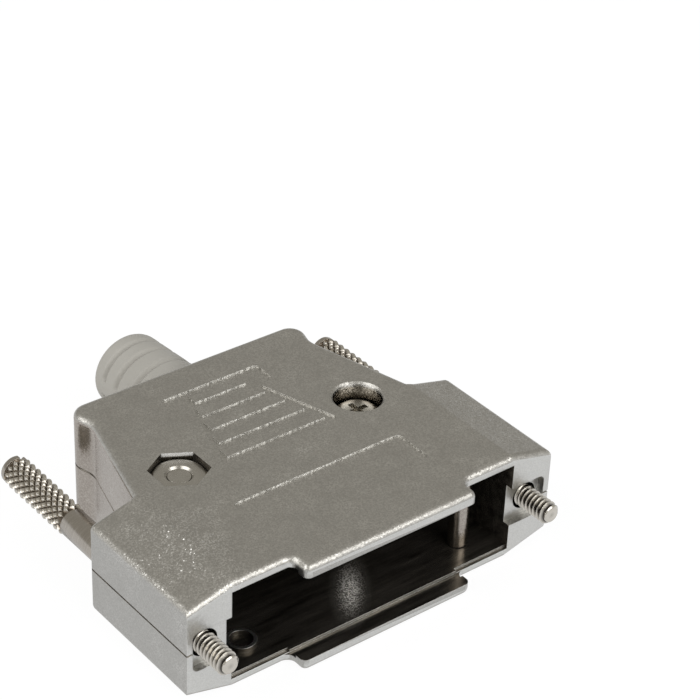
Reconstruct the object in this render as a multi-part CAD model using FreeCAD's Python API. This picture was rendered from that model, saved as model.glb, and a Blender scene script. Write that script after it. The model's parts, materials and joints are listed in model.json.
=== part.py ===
import FreeCAD, Part
import math
import os
from FreeCAD import Vector

os.makedirs("parts", exist_ok=True)

# Two-piece hood for a 25-way D-sub connector, in millimetres.
# X points right seen from the mating opening, Y back towards the cable, Z up.
# The front faces of the ears lie on y = 0 and the parting plane on z = 0.
# The lower shell is the upper one turned over about Y, with a ring boss for its post.

# Outline of the shell seen from above
JACKSCREW_SPACING = 47.04
JACKSCREW_X = JACKSCREW_SPACING / 2.0
EAR_OUTER_MARGIN = 2.98
EAR_INNER_MARGIN = 3.22
EAR_HALF_WIDTH = JACKSCREW_X + EAR_OUTER_MARGIN
EAR_DEPTH = 19.6
SHOULDER_X = JACKSCREW_X - EAR_INNER_MARGIN
SLOPE_START_X = SHOULDER_X - 0.05
WAIST_X = 16.4
WAIST_Y = 34.3
TAIL_X = 17.76
BACK_Y = 38.9
TAB_HALF_WIDTH = 12.4
TAB_REACH = 2.7

# Heights above the parting plane and wall thicknesses
HALF_THICKNESS = 7.5
EAR_DROP = 1.6
EAR_HALF_THICKNESS = HALF_THICKNESS - EAR_DROP
WALL = 1.65
SIDE_WALL = 1.7
BACK_WALL = 1.8
INNER_Z = HALF_THICKNESS - WALL
CABLE_SIDE_INNER_Y = BACK_Y - BACK_WALL
CAVITY_CORNER_RADIUS = 1.0

# Rounding of the outline's corners and of its outer edge
EAR_CORNER_RADIUS = 0.9
NOTCH_RADIUS = 0.5
WAIST_RADIUS = 3.5
TAIL_RADIUS = 2.1
TAB_NOSE_RADIUS = 0.8
TAB_COVE_RADIUS = 1.0
EDGE_RADIUS = 0.9
PARTING_CHAMFER = 0.12

# Mating opening
CHANNEL_RADIUS = 2.2
CHANNEL_WALL = 0.82
OPENING_HALF_WIDTH = JACKSCREW_X - CHANNEL_RADIUS - CHANNEL_WALL
OPENING_STRAIGHT = 12.5
FLANGE_LIP = 1.25
FLANGE_HALF_HEIGHT = HALF_THICKNESS - FLANGE_LIP
FLANGE_THICKNESS = 1.2
RIM_LIP = 1.35
RIM_HALF_HEIGHT = HALF_THICKNESS - RIM_LIP
RIM_DEPTH = 0.45
POST_X = 16.1
POST_Y = 4.2
POST_RADIUS = 1.25
POST_ROOT_RADIUS = 1.85
POST_ROOT_HEIGHT = 1.2
POST_GAP = 0.1
RING_BOSS_RADIUS = 1.85
RING_BOSS_HOLE_RADIUS = 1.4
RING_BOSS_HEIGHT = 0.6

# Channel for the captive thumbscrew in each ear
EAR_RECESS_HALF_HEIGHT = CHANNEL_RADIUS + 0.5
EAR_RECESS_DEPTH = 1.0
EAR_RECESS_OUTER_X = EAR_HALF_WIDTH - 0.8
EAR_RECESS_CORNER = 0.8
FRONT_WEB_BACK_Y = 2.9
FRONT_WEB_GAP = 0.35
WEB_FRONT_Y = 7.0
WEB_THICKNESS = 1.5
WEB_HOLE_GAP = 0.25
RUN_GAP = 0.2
MOUTH_CHAMFER = 0.4

# Thumbscrew with a 4-40 thread
THREAD_RADIUS = 1.42
THREAD_TIP_Y = -4.0
THREAD_END_Y = 0.05
TIP_CHAMFER = 0.45
NECK_RADIUS = 1.3
SHANK_RADIUS = 1.8
SHOULDER_Y = 10.0
HEAD_START_Y = 27.8
HEAD_END_Y = 41.0
HEAD_END_LENGTH = 1.2
KNURL_END_Y = HEAD_END_Y - HEAD_END_LENGTH
HEAD_END_RADIUS = 1.85
HEAD_END_CHAMFER = 0.25
KNURL_CREST_RADIUS = 2.05
KNURL_VALLEY_RADIUS = 1.62
KNURL_ROWS = 20
KNURL_COLUMNS = 24
KNURL_CORE_RADIUS = 1.45
SLOT_WIDTH = 1.0
SLOT_DEPTH = HEAD_END_LENGTH
SLOT_ANGLE_RIGHT = 11.0
SLOT_ANGLE_LEFT = 58.0

# Retaining ring that keeps a thumbscrew in its ear
RING_GROOVE_RADIUS = 1.1
RING_RUNNING_GAP = 0.05
RING_THICKNESS = 0.5
RING_CENTRE_Y = 4.75
RING_OPENING_HALF_WIDTH = 0.95
RING_SIDE_GAP = 0.05

# Screws and nuts that hold the two shells together
CLAMP_X = 13.2
CLAMP_Y = 20.7
CLAMP_BOSS_RADIUS = 4.7
CLAMP_HOLE_RADIUS = 1.6
COUNTERBORE_RADIUS = 3.1
COUNTERBORE_CHAMFER = 0.25
SCREW_SEAT_DEPTH = 3.8
SCREW_SEAT_Z = HALF_THICKNESS - SCREW_SEAT_DEPTH
SCREW_RADIUS = 1.42
SCREW_HEAD_RADIUS = 2.75
SCREW_HEAD_HEIGHT = 1.9
SCREW_HEAD_ROUND = 0.8
SCREW_END_RECESS = 0.25
CROSS_LENGTH = 2.9
CROSS_WIDTH = 0.75
CROSS_DEPTH = 1.1
NUT_ACROSS_FLATS = 6.35
NUT_THICKNESS = 2.4
NUT_DEPTH_BELOW_FACE = 0.75
NUT_CROWN_SLOPE = 1.75
NUT_CROWN_INSET = 0.15
NUT_POCKET_GAP = 0.08
THREAD_FIT_GAP = 0.03

# Shallow forms in the broad outer face
LABEL_X = 12.15
LABEL_FRONT_Y = 5.9
LABEL_BACK_Y = 11.6
LABEL_DEPTH = 0.2
LABEL_CORNER = 0.6
GRIP_FRONT_Y = 18.4
GRIP_FRONT_X = 8.5
GRIP_NECK_Y = 29.5
GRIP_NECK_X = 5.0
GRIP_HEAD_FRONT_Y = 30.3
GRIP_HEAD_BACK_Y = 33.6
GRIP_HEAD_X = 7.2
GRIP_DEPTH = 0.22
GRIP_CORNER = 0.6
GRIP_INNER_CORNER = 0.3
GRIP_RIBS = 5
GRIP_RIB_FIRST_Y = 19.5
GRIP_RIB_PITCH = 2.87
GRIP_RIB_WIDTH = 1.55
GRIP_RIB_FIRST_X = 7.2
GRIP_RIB_STEP_X = 0.86
GRIP_RIB_BELOW_FACE = 0.03

# Cable boot
BOOT_END_Y = 52.7
BOOT_RADIUS = 5.8
BOOT_END_RADIUS = 5.3
BOOT_BORE_RADIUS = 3.9
BOOT_COLLAR_RADIUS = 5.5
BOOT_COLLAR_END_Y = 39.6
BOOT_NECK_RADIUS = 4.5
BOOT_FLANGE_RADIUS = 5.0
BOOT_FLANGE_THICKNESS = 1.5
BOOT_END_ROUND = 1.2
BOOT_GAP = 0.1
BOOT_SEAT_GAP = 0.02
BOOT_SEAT_RADIUS = 6.3
BOOT_SEAT_DEPTH = 0.5
GROOVE_YS = (42.9, 46.6, 50.0)
GROOVE_WIDTH = 0.6
GROOVE_DEPTH = 0.4
GROOVE_BAND_HALF_HEIGHT = 1.0

# Cable clamp inside the tail
BAR_CENTRE_Y = 32.5
BAR_WIDTH = 3.2
BAR_THICKNESS = 1.2
BAR_FOOT_X = 9.8
BAR_SCREW_X = 7.2
BAR_BOSS_RADIUS = 2.5
BAR_BOSS_HEIGHT = 1.6
BAR_SCREW_RADIUS = 1.1
BAR_SCREW_DEPTH = 2.5
BAR_SCREW_END_GAP = 0.3
BAR_HOLE_GAP = 0.15
BAR_SCREW_HEAD_RADIUS = 2.1
BAR_SCREW_HEAD_HEIGHT = 1.4
BAR_SCREW_HEAD_ROUND = 0.6
BAR_CROSS_LENGTH = 2.2
BAR_CROSS_WIDTH = 0.55
BAR_CROSS_DEPTH = 0.8
SADDLE_Y = 28.8
SADDLE_THICKNESS = 1.1
SADDLE_HALF_WIDTH = 7.0
SADDLE_HEIGHT = 3.4

AXIS_X = Vector(1, 0, 0)
AXIS_Y = Vector(0, 1, 0)
AXIS_Z = Vector(0, 0, 1)
SMALL = 1e-3


def block(x0, x1, y0, y1, z0, z1):
    return Part.makeBox(x1 - x0, y1 - y0, z1 - z0, Vector(x0, y0, z0))


def plan_prism(points, z0, z1):
    corners = [Vector(x, y, z0) for x, y in points]
    face = Part.Face(Part.makePolygon(corners + [corners[0]]))
    return face.extrude(Vector(0, 0, z1 - z0))


def front_prism(points, y0, y1):
    corners = [Vector(x, y0, z) for x, z in points]
    face = Part.Face(Part.makePolygon(corners + [corners[0]]))
    return face.extrude(Vector(0, y1 - y0, 0))


def mirrored_outline(points):
    return points + [(-x, y) for x, y in reversed(points)]


def turned(profile):
    corners = [Vector(r, y, 0) for r, y in profile]
    face = Part.Face(Part.makePolygon(corners + [corners[0]]))
    return face.revolve(Vector(0, 0, 0), AXIS_Y, 360)


def rod(radius, x, y, z, direction, length):
    return Part.makeCylinder(radius, length, Vector(x, y, z), direction)


def upright_edges(shape, x, y):
    found = []
    for edge in shape.Edges:
        ends = [v.Point for v in edge.Vertexes]
        if len(ends) != 2 or abs(ends[0].z - ends[1].z) < SMALL:
            continue
        if all(abs(abs(p.x) - x) < SMALL and abs(p.y - y) < SMALL for p in ends):
            found.append(edge)
    return found


def rounded_uprights(shape, corners):
    for x, y, radius in corners:
        shape = shape.makeFillet(radius, upright_edges(shape, x, y))
    return shape


def face_normal(face, point):
    u, v = face.Surface.parameter(point)
    return face.normalAt(u, v)


def outer_top_edges(shape):
    found = []
    for edge in shape.Edges:
        middle = edge.valueAt((edge.FirstParameter + edge.LastParameter) / 2.0)
        if middle.z < EAR_HALF_THICKNESS / 2.0:
            continue
        rises = [abs(face_normal(face, middle).z)
                 for face in shape.ancestorsOfType(edge, Part.Face)]
        if max(rises) > 0.5 and min(rises) < 0.1:
            found.append(edge)
    return found


def shell_block():
    outline = [
        (TAB_HALF_WIDTH, -TAB_REACH),
        (TAB_HALF_WIDTH, 0.0),
        (EAR_HALF_WIDTH, 0.0),
        (EAR_HALF_WIDTH, EAR_DEPTH),
        (SHOULDER_X, EAR_DEPTH),
        (WAIST_X, WAIST_Y),
        (TAIL_X, BACK_Y),
    ]
    body = plan_prism(mirrored_outline(outline), 0.0, HALF_THICKNESS)
    body = rounded_uprights(body, [
        (TAB_HALF_WIDTH, -TAB_REACH, TAB_NOSE_RADIUS),
        (TAB_HALF_WIDTH, 0.0, TAB_COVE_RADIUS),
        (EAR_HALF_WIDTH, EAR_DEPTH, EAR_CORNER_RADIUS),
        (SHOULDER_X, EAR_DEPTH, NOTCH_RADIUS),
        (WAIST_X, WAIST_Y, WAIST_RADIUS),
        (TAIL_X, BACK_Y, TAIL_RADIUS),
    ])
    section = [
        (EAR_HALF_WIDTH, 0.0),
        (EAR_HALF_WIDTH, EAR_HALF_THICKNESS),
        (SLOPE_START_X, HALF_THICKNESS),
    ]
    body = body.common(front_prism(mirrored_outline(section), -TAB_REACH, BACK_Y))
    body = body.makeFillet(EDGE_RADIUS, outer_top_edges(body))
    parting = [e for e in body.Edges if e.BoundBox.ZMax < SMALL]
    return body.makeChamfer(PARTING_CHAMFER, parting)


def cavity():
    tail_inner_x = WAIST_X - SIDE_WALL
    outline = [
        (OPENING_HALF_WIDTH, -TAB_REACH - 1.0),
        (OPENING_HALF_WIDTH, OPENING_STRAIGHT),
        (SHOULDER_X - SIDE_WALL, EAR_DEPTH - SIDE_WALL),
        (tail_inner_x, WAIST_Y),
        (tail_inner_x, CABLE_SIDE_INNER_Y),
    ]
    hollow = plan_prism(mirrored_outline(outline), -1.0, INNER_Z)
    return rounded_uprights(hollow, [(tail_inner_x, CABLE_SIDE_INNER_Y,
                                        CAVITY_CORNER_RADIUS)])


def ear_channel():
    x = JACKSCREW_X
    recess = block(OPENING_HALF_WIDTH - 1.0, EAR_RECESS_OUTER_X, -1.0, EAR_RECESS_DEPTH,
                   -EAR_RECESS_HALF_HEIGHT, EAR_RECESS_HALF_HEIGHT)
    outer = [e for e in recess.Edges
             if abs(e.CenterOfMass.x - EAR_RECESS_OUTER_X) < SMALL
             and abs(e.CenterOfMass.y - (EAR_RECESS_DEPTH - 1.0) / 2.0) < SMALL]
    recess = recess.makeFillet(EAR_RECESS_CORNER, outer)
    web_back = WEB_FRONT_Y + WEB_THICKNESS
    front = rod(THREAD_RADIUS + FRONT_WEB_GAP, x, 0.0, 0.0, AXIS_Y, FRONT_WEB_BACK_Y)
    chamber = rod(CHANNEL_RADIUS, x, FRONT_WEB_BACK_Y, 0.0, AXIS_Y,
                  WEB_FRONT_Y - FRONT_WEB_BACK_Y)
    neck = rod(NECK_RADIUS + WEB_HOLE_GAP, x, 0.0, 0.0, AXIS_Y, web_back + 0.5)
    bore = rod(SHANK_RADIUS + RUN_GAP, x, web_back, 0.0, AXIS_Y, EAR_DEPTH)
    mouth = Part.makeCone(SHANK_RADIUS + RUN_GAP, SHANK_RADIUS + RUN_GAP + 2.0 * MOUTH_CHAMFER,
                          2.0 * MOUTH_CHAMFER, Vector(x, EAR_DEPTH - MOUTH_CHAMFER, 0.0), AXIS_Y)
    return recess.multiFuse([front, chamber, neck, bore, mouth])


def hexagon(x, y, across_flats, z0, z1):
    reach = across_flats / math.sqrt(3.0)
    points = []
    for step in range(6):
        angle = math.radians(90.0 + 60.0 * step)
        points.append((x + reach * math.cos(angle), y + reach * math.sin(angle)))
    return plan_prism(points, z0, z1)


def post():
    shaft = rod(POST_RADIUS, POST_X, POST_Y, POST_GAP - INNER_Z, AXIS_Z, 2.0 * INNER_Z)
    root = Part.makeCone(POST_ROOT_RADIUS, POST_RADIUS, POST_ROOT_HEIGHT,
                         Vector(POST_X, POST_Y, INNER_Z), Vector(0, 0, -1))
    return shaft.fuse(root)


def ring_boss():
    low = INNER_Z - RING_BOSS_HEIGHT
    boss = rod(RING_BOSS_RADIUS, POST_X, POST_Y, low, AXIS_Z, RING_BOSS_HEIGHT + SMALL)
    return boss.cut(rod(RING_BOSS_HOLE_RADIUS, POST_X, POST_Y, low, AXIS_Z, RING_BOSS_HEIGHT))


def grip_ribs(top):
    ribs = []
    for index in range(GRIP_RIBS):
        reach = GRIP_RIB_FIRST_X - GRIP_RIB_STEP_X * index
        front = GRIP_RIB_FIRST_Y + GRIP_RIB_PITCH * index
        rib = block(-reach, reach, front, front + GRIP_RIB_WIDTH, top - 2.0 * GRIP_DEPTH, top)
        ribs.append(rib)
    return ribs


def saddle():
    low = INNER_Z - SADDLE_HEIGHT
    rib = block(-SADDLE_HALF_WIDTH, SADDLE_HALF_WIDTH, SADDLE_Y,
                SADDLE_Y + SADDLE_THICKNESS, low, INNER_Z + SMALL)
    trough = rod(BOOT_BORE_RADIUS + RUN_GAP, 0.0, SADDLE_Y - 1.0, 0.0, AXIS_Y,
                 SADDLE_THICKNESS + 2.0)
    return rib.cut(trough)


def shell(locator):
    top = HALF_THICKNESS
    body = shell_block().cut(cavity())

    # Groove for the connector's flange behind the hooked tab, and the rim beside it
    groove = block(-OPENING_HALF_WIDTH, OPENING_HALF_WIDTH, -FLANGE_THICKNESS, 0.0,
                   -1.0, FLANGE_HALF_HEIGHT)
    rims = [block(TAB_HALF_WIDTH, OPENING_HALF_WIDTH, -1.0, RIM_DEPTH, -1.0, RIM_HALF_HEIGHT),
            block(-OPENING_HALF_WIDTH, -TAB_HALF_WIDTH, -1.0, RIM_DEPTH, -1.0, RIM_HALF_HEIGHT)]
    body = body.cut(groove.multiFuse(rims))

    # Bosses, the post or ring boss, and the saddle on the inside
    boss_height = INNER_Z + SMALL
    inside = [
        rod(CLAMP_BOSS_RADIUS, CLAMP_X, CLAMP_Y, 0.0, AXIS_Z, boss_height),
        rod(CLAMP_BOSS_RADIUS, -CLAMP_X, CLAMP_Y, 0.0, AXIS_Z, boss_height),
        locator,
        saddle(),
    ]
    for side in (1, -1):
        inside.append(rod(BAR_BOSS_RADIUS, side * BAR_SCREW_X, BAR_CENTRE_Y,
                          INNER_Z - BAR_BOSS_HEIGHT, AXIS_Z, BAR_BOSS_HEIGHT + SMALL))
    hull = shell_block()
    trimmed = [piece.common(hull) for piece in inside[:2]] + inside[2:]
    body = body.multiFuse(trimmed)

    # Screw side on +X, nut side on -X
    seat = rod(COUNTERBORE_RADIUS, CLAMP_X, CLAMP_Y, SCREW_SEAT_Z, AXIS_Z, top)
    lead = Part.makeCone(COUNTERBORE_RADIUS, COUNTERBORE_RADIUS + 2.0 * COUNTERBORE_CHAMFER,
                         2.0 * COUNTERBORE_CHAMFER,
                         Vector(CLAMP_X, CLAMP_Y, top - COUNTERBORE_CHAMFER), AXIS_Z)
    nut_floor = top - NUT_DEPTH_BELOW_FACE - NUT_THICKNESS
    pocket = hexagon(-CLAMP_X, CLAMP_Y, NUT_ACROSS_FLATS + 2.0 * NUT_POCKET_GAP,
                     nut_floor, top + 1.0)
    holes = [rod(CLAMP_HOLE_RADIUS, side * CLAMP_X, CLAMP_Y, -1.0, AXIS_Z, top)
             for side in (1, -1)]
    for side in (1, -1):
        holes.append(rod(BAR_SCREW_RADIUS, side * BAR_SCREW_X, BAR_CENTRE_Y,
                         INNER_Z - BAR_BOSS_HEIGHT - 1.0, AXIS_Z, BAR_SCREW_DEPTH + 1.0))
    body = body.cut(seat.multiFuse([lead, pocket] + holes))

    # Channels for the thumbscrews
    channel = ear_channel()
    body = body.cut(channel).cut(channel.mirror(Vector(0, 0, 0), AXIS_X))

    # Passage and seat for the boot in the back wall
    passage = rod(BOOT_NECK_RADIUS + BOOT_GAP, 0.0, CABLE_SIDE_INNER_Y - 1.0, 0.0, AXIS_Y, 5.0)
    boot_seat = rod(BOOT_SEAT_RADIUS, 0.0, BACK_Y - BOOT_SEAT_DEPTH, 0.0, AXIS_Y, 2.0)
    body = body.cut(passage.fuse(boot_seat))

    # Label recess and grip motif in the broad face
    label = block(-LABEL_X, LABEL_X, LABEL_FRONT_Y, LABEL_BACK_Y, top - LABEL_DEPTH, top + 1.0)
    label = rounded_uprights(label, [(LABEL_X, LABEL_FRONT_Y, LABEL_CORNER),
                                     (LABEL_X, LABEL_BACK_Y, LABEL_CORNER)])
    grip = plan_prism(mirrored_outline([
        (GRIP_FRONT_X, GRIP_FRONT_Y),
        (GRIP_NECK_X, GRIP_NECK_Y),
        (GRIP_HEAD_X, GRIP_HEAD_FRONT_Y),
        (GRIP_HEAD_X, GRIP_HEAD_BACK_Y),
    ]), top - GRIP_DEPTH, top + 1.0)
    grip = rounded_uprights(grip, [(GRIP_FRONT_X, GRIP_FRONT_Y, GRIP_CORNER),
                                   (GRIP_NECK_X, GRIP_NECK_Y, GRIP_INNER_CORNER),
                                   (GRIP_HEAD_X, GRIP_HEAD_FRONT_Y, GRIP_INNER_CORNER),
                                   (GRIP_HEAD_X, GRIP_HEAD_BACK_Y, GRIP_CORNER)])
    for rib in grip_ribs(top - GRIP_RIB_BELOW_FACE):
        grip = grip.cut(rib)
    body = body.cut(label).cut(grip)
    return body.removeSplitter()


def knurl():
    half_row = (KNURL_END_Y - HEAD_START_Y) / KNURL_ROWS
    half_column = 2.0 * math.pi / KNURL_COLUMNS

    def corner(row, column):
        at_end = row in (0, KNURL_ROWS)
        crest = (row + column) % 2 == 0 and not at_end
        radius = KNURL_CREST_RADIUS if crest else KNURL_VALLEY_RADIUS
        angle = (column % KNURL_COLUMNS) * half_column
        return Vector(radius * math.cos(angle), HEAD_START_Y + row * half_row,
                      radius * math.sin(angle))

    faces = []
    for row in range(KNURL_ROWS):
        for column in range(KNURL_COLUMNS):
            a = corner(row, column)
            b = corner(row + 1, column)
            c = corner(row + 1, column + 1)
            d = corner(row, column + 1)
            if (row + column) % 2 == 0:
                triangles = ((a, b, d), (b, c, d))
            else:
                triangles = ((a, b, c), (a, c, d))
            for triangle in triangles:
                loop = Part.makePolygon(list(triangle) + [triangle[0]])
                faces.append(Part.Face(loop))
    for row in (0, KNURL_ROWS):
        ring = [corner(row, column) for column in range(KNURL_COLUMNS)]
        faces.append(Part.Face(Part.makePolygon(ring + [ring[0]])))
    shell_of_faces = Part.makeShell(faces)
    shell_of_faces.sewShape()
    solid = Part.makeSolid(shell_of_faces)
    if solid.Volume < 0:
        solid.reverse()
    return solid


def thumbscrew(x, slot_angle):
    groove_half = RING_THICKNESS / 2.0 + RING_SIDE_GAP
    body = turned([
        (0.0, THREAD_TIP_Y),
        (THREAD_RADIUS - TIP_CHAMFER, THREAD_TIP_Y),
        (THREAD_RADIUS, THREAD_TIP_Y + TIP_CHAMFER),
        (THREAD_RADIUS, THREAD_END_Y),
        (NECK_RADIUS, THREAD_END_Y + THREAD_RADIUS - NECK_RADIUS),
        (NECK_RADIUS, RING_CENTRE_Y - groove_half),
        (RING_GROOVE_RADIUS, RING_CENTRE_Y - groove_half),
        (RING_GROOVE_RADIUS, RING_CENTRE_Y + groove_half),
        (NECK_RADIUS, RING_CENTRE_Y + groove_half),
        (NECK_RADIUS, SHOULDER_Y),
        (SHANK_RADIUS, SHOULDER_Y),
        (SHANK_RADIUS, HEAD_START_Y),
        (KNURL_CORE_RADIUS, HEAD_START_Y),
        (KNURL_CORE_RADIUS, KNURL_END_Y),
        (HEAD_END_RADIUS, KNURL_END_Y),
        (HEAD_END_RADIUS, HEAD_END_Y - HEAD_END_CHAMFER),
        (HEAD_END_RADIUS - HEAD_END_CHAMFER, HEAD_END_Y),
        (0.0, HEAD_END_Y),
    ])
    body = body.fuse(knurl())
    reach = KNURL_CREST_RADIUS + 1.0
    slot = block(-reach, reach, HEAD_END_Y - SLOT_DEPTH, HEAD_END_Y + 1.0,
                 -SLOT_WIDTH / 2.0, SLOT_WIDTH / 2.0)
    slot.rotate(Vector(0, 0, 0), AXIS_Y, -slot_angle)
    body = body.cut(slot)
    body.translate(Vector(x, 0, 0))
    return body


def retaining_ring(x):
    start = RING_CENTRE_Y - RING_THICKNESS / 2.0
    ring = rod(CHANNEL_RADIUS - RUN_GAP, 0.0, start, 0.0, AXIS_Y, RING_THICKNESS)
    hole = rod(RING_GROOVE_RADIUS + RING_RUNNING_GAP, 0.0, start, 0.0, AXIS_Y, RING_THICKNESS)
    opening = block(-RING_OPENING_HALF_WIDTH, RING_OPENING_HALF_WIDTH,
                    start, start + RING_THICKNESS, -2.0 * CHANNEL_RADIUS, 0.0)
    ring = ring.cut(hole).cut(opening)
    ring.translate(Vector(x, 0, 0))
    return ring


def cross_recess(length, width, depth, x, y, z):
    along = block(x - length / 2.0, x + length / 2.0, y - width / 2.0, y + width / 2.0,
                  z - depth, z + 1.0)
    across = block(x - width / 2.0, x + width / 2.0, y - length / 2.0, y + length / 2.0,
                   z - depth, z + 1.0)
    return along.fuse(across)


def pan_head(radius, height, rounding, x, y, z):
    head = rod(radius, x, y, z, AXIS_Z, height)
    rim = [e for e in head.Edges if abs(e.CenterOfMass.z - z - height) < SMALL and e.Closed]
    return head.makeFillet(rounding, rim[:1])


def shell_screw():
    nut_face = HALF_THICKNESS - NUT_DEPTH_BELOW_FACE
    end = -(nut_face - SCREW_END_RECESS)
    shank = rod(SCREW_RADIUS, CLAMP_X, CLAMP_Y, end, AXIS_Z, SCREW_SEAT_Z + SMALL - end)
    head = pan_head(SCREW_HEAD_RADIUS, SCREW_HEAD_HEIGHT, SCREW_HEAD_ROUND,
                    CLAMP_X, CLAMP_Y, SCREW_SEAT_Z)
    drive = cross_recess(CROSS_LENGTH, CROSS_WIDTH, CROSS_DEPTH, CLAMP_X, CLAMP_Y,
                         SCREW_SEAT_Z + SCREW_HEAD_HEIGHT)
    return shank.fuse(head).cut(drive)


def shell_nut():
    outer = HALF_THICKNESS - NUT_DEPTH_BELOW_FACE
    inner = outer - NUT_THICKNESS
    body = hexagon(-CLAMP_X, CLAMP_Y, NUT_ACROSS_FLATS, inner, outer)
    crown = Part.makeCone(NUT_ACROSS_FLATS / 2.0 + NUT_THICKNESS * NUT_CROWN_SLOPE,
                          NUT_ACROSS_FLATS / 2.0 - NUT_CROWN_INSET,
                          NUT_THICKNESS, Vector(-CLAMP_X, CLAMP_Y, inner), AXIS_Z)
    hole = rod(SCREW_RADIUS + THREAD_FIT_GAP, -CLAMP_X, CLAMP_Y, inner - 1.0, AXIS_Z,
               NUT_THICKNESS + 2.0)
    return body.common(crown).cut(hole)


def cable_boot():
    flange_start = CABLE_SIDE_INNER_Y - BOOT_SEAT_GAP - BOOT_FLANGE_THICKNESS
    seat_y = BACK_Y - BOOT_SEAT_DEPTH + BOOT_SEAT_GAP
    body = turned([
        (BOOT_BORE_RADIUS, flange_start),
        (BOOT_FLANGE_RADIUS, flange_start),
        (BOOT_FLANGE_RADIUS, flange_start + BOOT_FLANGE_THICKNESS),
        (BOOT_NECK_RADIUS, flange_start + BOOT_FLANGE_THICKNESS),
        (BOOT_NECK_RADIUS, seat_y),
        (BOOT_COLLAR_RADIUS, seat_y),
        (BOOT_COLLAR_RADIUS, BOOT_COLLAR_END_Y),
        (BOOT_RADIUS, BOOT_COLLAR_END_Y),
        (BOOT_END_RADIUS, BOOT_END_Y),
        (BOOT_BORE_RADIUS, BOOT_END_Y),
    ])
    rim = [e for e in body.Edges if e.Closed and abs(e.CenterOfMass.y - BOOT_END_Y) < SMALL
           and abs(e.Length - 2.0 * math.pi * BOOT_END_RADIUS) < 0.1]
    body = body.makeFillet(BOOT_END_ROUND, rim)
    taper = (BOOT_RADIUS - BOOT_END_RADIUS) / (BOOT_END_Y - BOOT_COLLAR_END_Y)
    for centre in GROOVE_YS:
        start = centre - GROOVE_WIDTH / 2.0
        floor_radius = BOOT_RADIUS - taper * (centre - BOOT_COLLAR_END_Y) - GROOVE_DEPTH
        ring = rod(BOOT_RADIUS + 1.0, 0.0, start, 0.0, AXIS_Y, GROOVE_WIDTH)
        floor = rod(floor_radius, 0.0, start, 0.0, AXIS_Y, GROOVE_WIDTH)
        band = block(-BOOT_RADIUS - 2.0, BOOT_RADIUS + 2.0, start, start + GROOVE_WIDTH,
                     -GROOVE_BAND_HALF_HEIGHT, GROOVE_BAND_HALF_HEIGHT)
        body = body.cut(ring.cut(floor).cut(band))
    return body


def cable_clamp_bar():
    start = BAR_CENTRE_Y - BAR_WIDTH / 2.0
    foot_low = -(INNER_Z - BAR_BOSS_HEIGHT)
    inner = BOOT_BORE_RADIUS
    outer = inner + BAR_THICKNESS
    arch = rod(outer, 0.0, start, 0.0, AXIS_Y, BAR_WIDTH)
    legs = block(-outer, outer, start, start + BAR_WIDTH, foot_low, 0.0)
    below = block(-2.0 * outer, 2.0 * outer, start, start + BAR_WIDTH, -2.0 * outer, foot_low)
    body = arch.fuse(legs).cut(below)
    body = body.fuse(block(-BAR_FOOT_X, BAR_FOOT_X, start, start + BAR_WIDTH,
                           foot_low, foot_low + BAR_THICKNESS))
    hollow = rod(inner, 0.0, start, 0.0, AXIS_Y, BAR_WIDTH)
    body = body.cut(hollow)
    body = body.cut(block(-inner, inner, start, start + BAR_WIDTH, foot_low - 1.0, 0.0))
    for side in (1, -1):
        body = body.cut(rod(BAR_SCREW_RADIUS + BAR_HOLE_GAP, side * BAR_SCREW_X, BAR_CENTRE_Y,
                            foot_low - 1.0, AXIS_Z, BAR_THICKNESS + 2.0))
    return body


def bar_screw(side):
    x = side * BAR_SCREW_X
    foot_top = -(INNER_Z - BAR_BOSS_HEIGHT) + BAR_THICKNESS
    end = -(INNER_Z - BAR_BOSS_HEIGHT) - BAR_SCREW_DEPTH + BAR_SCREW_END_GAP
    shank = rod(BAR_SCREW_RADIUS - THREAD_FIT_GAP, x, BAR_CENTRE_Y, end, AXIS_Z,
                foot_top + SMALL - end)
    head = pan_head(BAR_SCREW_HEAD_RADIUS, BAR_SCREW_HEAD_HEIGHT, BAR_SCREW_HEAD_ROUND,
                    x, BAR_CENTRE_Y, foot_top)
    drive = cross_recess(BAR_CROSS_LENGTH, BAR_CROSS_WIDTH, BAR_CROSS_DEPTH, x, BAR_CENTRE_Y,
                         foot_top + BAR_SCREW_HEAD_HEIGHT)
    return shank.fuse(head).cut(drive)


def turned_over(shape):
    copy = shape.copy()
    copy.rotate(Vector(0, 0, 0), AXIS_Y, 180)
    return copy


def save(name, shape):
    shape.exportStep("parts/" + name + ".step")
    print(name, shape.isValid(), len(shape.Solids), round(shape.Volume, 2))


screw = shell_screw()
nut = shell_nut()

save("upper_shell", shell(post()))
save("lower_shell", turned_over(shell(ring_boss())))
save("cable_boot", cable_boot())
save("thumbscrew_right", thumbscrew(JACKSCREW_X, SLOT_ANGLE_RIGHT))
save("thumbscrew_left", thumbscrew(-JACKSCREW_X, SLOT_ANGLE_LEFT))
save("retaining_ring_right", retaining_ring(JACKSCREW_X))
save("retaining_ring_left", retaining_ring(-JACKSCREW_X))
save("shell_screw_right", screw)
save("shell_screw_left", turned_over(screw))
save("shell_nut_left", nut)
save("shell_nut_right", turned_over(nut))
save("cable_clamp_bar", cable_clamp_bar())
save("clamp_bar_screw_right", bar_screw(1))
save("clamp_bar_screw_left", bar_screw(-1))
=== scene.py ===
import json
import math

import bmesh
import bpy
from bpy.props import FloatProperty, FloatVectorProperty, IntProperty, PointerProperty
from mathutils import Matrix, Vector

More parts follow.
